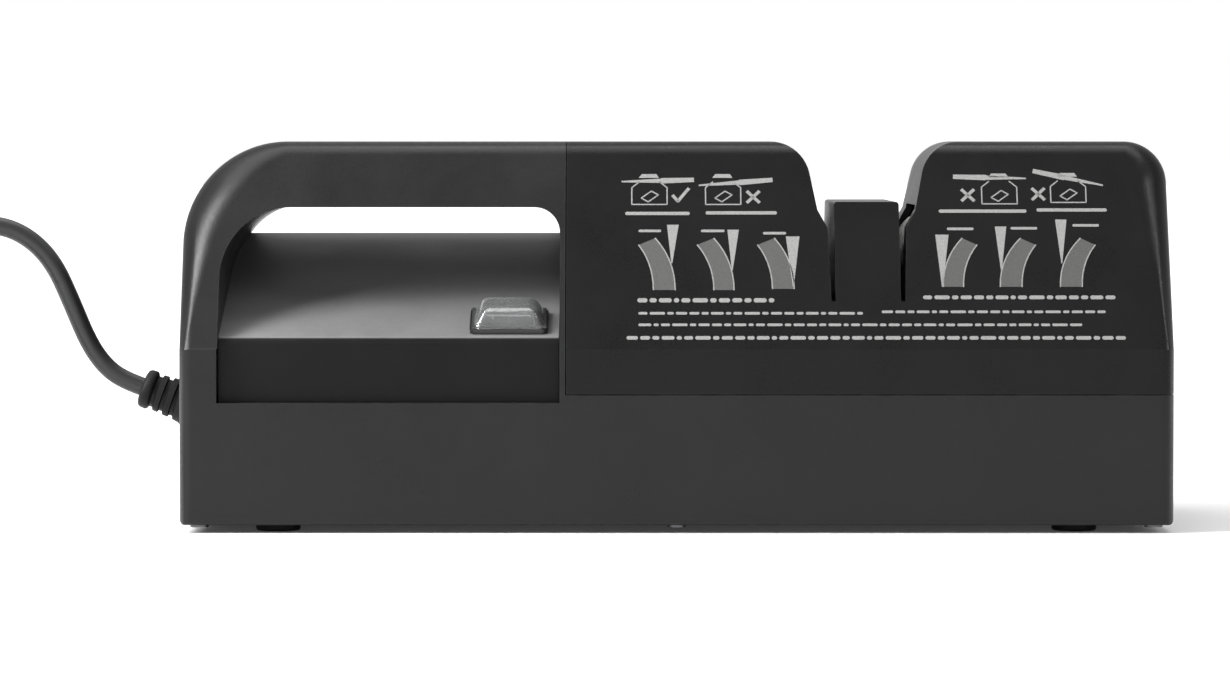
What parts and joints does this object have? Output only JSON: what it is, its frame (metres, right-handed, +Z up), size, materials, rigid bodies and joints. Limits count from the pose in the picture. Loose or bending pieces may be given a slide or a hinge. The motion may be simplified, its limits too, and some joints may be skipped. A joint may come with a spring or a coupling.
{
  "type": "electric knife sharpener",
  "caption": "Long countertop belt sharpener with an arched carrying handle, a sloped tray with a booted rocker switch, a notched belt cover and a mains lead with a plug.",
  "frame": {"origin": "bottom centre of the body, on the surface that the feet stand on", "axes": "+X to the right along the length, with the mains lead leaving at -X; -Y is the front; +Z up"},
  "size_m": [0.5553, 0.1607, 0.122],
  "materials": {
    "housing_black": "fine moulded grain",
    "cover_black": "fine moulded grain with pale printed guide marks",
    "plate_black": "plain moulded",
    "foot_rubber": "soft",
    "screw_steel": "zinc plated",
    "switch_black": "moulded",
    "rocker_grey": "moulded",
    "clear_boot": "clear soft boot",
    "gland_rubber": "ribbed",
    "lead_sheath": "smooth sheath",
    "plug_black": "moulded",
    "pin_plate": "nickel plated",
    "wire_sleeve": "insulation",
    "board_laminate": "printed circuit laminate",
    "component_black": "components",
    "chassis_steel": "zinc plated sheet",
    "spacer_steel": "turned",
    "bearing_steel": "ground",
    "drive_belt_rubber": "flat belt",
    "spring_steel": "spring wire",
    "can_steel": "plated can",
    "cap_plastic": "moulded",
    "magnet_ferrite": "sintered",
    "brush_carbon": "carbon",
    "shaft_steel": "ground",
    "core_steel": "stacked laminations",
    "winding_copper": "enamelled copper wire",
    "commutator_copper": "copper bars",
    "fan_plastic": "moulded",
    "pulley_aluminium": "turned",
    "pulley_plastic": "moulded",
    "roller_rubber": "covered roller",
    "gear_plastic": "moulded",
    "abrasive_grit": "abrasive cloth",
    "idler_plastic": "moulded",
    "arm_steel": "pressed"
  },
  "bodies": {
    "housing": {"abrasive_belt_left": "abrasive_grit", "abrasive_belt_right": "abrasive_grit", "arm_pivots": "shaft_steel", "base_shell": "housing_black", "board_parts": "component_black", "bottom_plate": "plate_black", "carbon_brushes": "brush_carbon", "chassis_plate": "chassis_steel", "chassis_screws": "screw_steel", "control_board": "board_laminate", "cord_coil": "lead_sheath", "cord_gland": "gland_rubber", "cord_lead": "lead_sheath", "cord_tail": "lead_sheath", "drive_belt": "drive_belt_rubber", "handle_liner": "housing_black", "handle_shell": "housing_black", "housing_screws": "screw_steel", "inner_lead": "lead_sheath", "inner_wires": "wire_sleeve", "motor_bearings": "bearing_steel", "motor_bracket": "chassis_steel", "motor_can": "can_steel", "motor_end_cap": "cap_plastic", "motor_magnets": "magnet_ferrite", "motor_screws": "screw_steel", "plate_spacers": "spacer_steel", "plug_body": "plug_black", "plug_pins": "pin_plate", "rear_plate": "chassis_steel", "rubber_feet": "foot_rubber", "shaft_bearings": "bearing_steel", "switch_body": "switch_black", "switch_cap": "clear_boot", "tension_springs": "spring_steel", "upper_housing": "housing_black"},
    "motor_rotor": {"motor_shaft": "shaft_steel", "armature_core": "core_steel", "armature_winding": "winding_copper", "commutator": "commutator_copper", "motor_fan": "fan_plastic", "motor_pulley": "pulley_aluminium"},
    "drive_left": {"drive_shaft_left": "shaft_steel", "drive_roller_left": "roller_rubber", "gear_left": "gear_plastic", "driven_pulley": "pulley_plastic"},
    "drive_right": {"drive_shaft_right": "shaft_steel", "drive_roller_right": "roller_rubber", "gear_right": "gear_plastic"},
    "arm_left": {"tension_arm_left": "arm_steel", "idler_axle_left": "shaft_steel"},
    "arm_right": {"tension_arm_right": "arm_steel", "idler_axle_right": "shaft_steel"},
    "idler_left": {"idler_roller_left": "idler_plastic"},
    "idler_right": {"idler_roller_right": "idler_plastic"},
    "cover": {"belt_cover": "cover_black"},
    "rocker": {"switch_rocker": "rocker_grey"}
  },
  "joints": [
    {"name": "motor_spin", "type": "hinge", "parent": "housing", "child": "motor_rotor", "pos_m": [-0.084, -0.00033, 0.04269], "axis": [0, 0.9659, 0.2588], "continuous": true},
    {"name": "drive_left_spin", "type": "hinge", "parent": "housing", "child": "drive_left", "pos_m": [0.0359, 0.002, 0.034], "axis": [0, 0.9659, 0.2588], "continuous": true},
    {"name": "drive_right_spin", "type": "hinge", "parent": "housing", "child": "drive_right", "pos_m": [0.0839, 0.002, 0.034], "axis": [0, 0.9659, 0.2588], "continuous": true},
    {"name": "arm_left_swing", "type": "hinge", "parent": "housing", "child": "arm_left", "pos_m": [0.0129, -0.01249, 0.08809], "axis": [0, 0.9659, 0.2588], "range_deg": [0, 6], "stiffness_Nm_per_rad": 0.5, "springref_deg": -5.73},
    {"name": "arm_right_swing", "type": "hinge", "parent": "housing", "child": "arm_right", "pos_m": [0.1069, -0.01249, 0.08809], "axis": [0, 0.9659, 0.2588], "range_deg": [-6, 0], "stiffness_Nm_per_rad": 0.5, "springref_deg": 5.73},
    {"name": "idler_left_spin", "type": "hinge", "parent": "arm_left", "child": "idler_left", "pos_m": [0.0383, -0.01223, 0.08713], "axis": [0, 0.9659, 0.2588], "continuous": true},
    {"name": "idler_right_spin", "type": "hinge", "parent": "arm_right", "child": "idler_right", "pos_m": [0.0815, -0.01223, 0.08713], "axis": [0, 0.9659, 0.2588], "continuous": true},
    {"name": "cover_lift", "type": "slide", "parent": "housing", "child": "cover", "axis": [0, 0, 1], "range_m": [0, 0.09]},
    {"name": "rocker_tilt", "type": "hinge", "parent": "housing", "child": "rocker", "pos_m": [-0.0524, -0.03821, 0.06337], "axis": [0, 0.9405, 0.3399], "range_deg": [0, 16]}
  ],
  "couplings": [
    {"joint": "drive_left_spin", "follows": "motor_spin", "ratio": 0.4},
    {"joint": "drive_right_spin", "follows": "motor_spin", "ratio": -0.4},
    {"joint": "idler_left_spin", "follows": "motor_spin", "ratio": 0.5},
    {"joint": "idler_right_spin", "follows": "motor_spin", "ratio": -0.5}
  ]
}
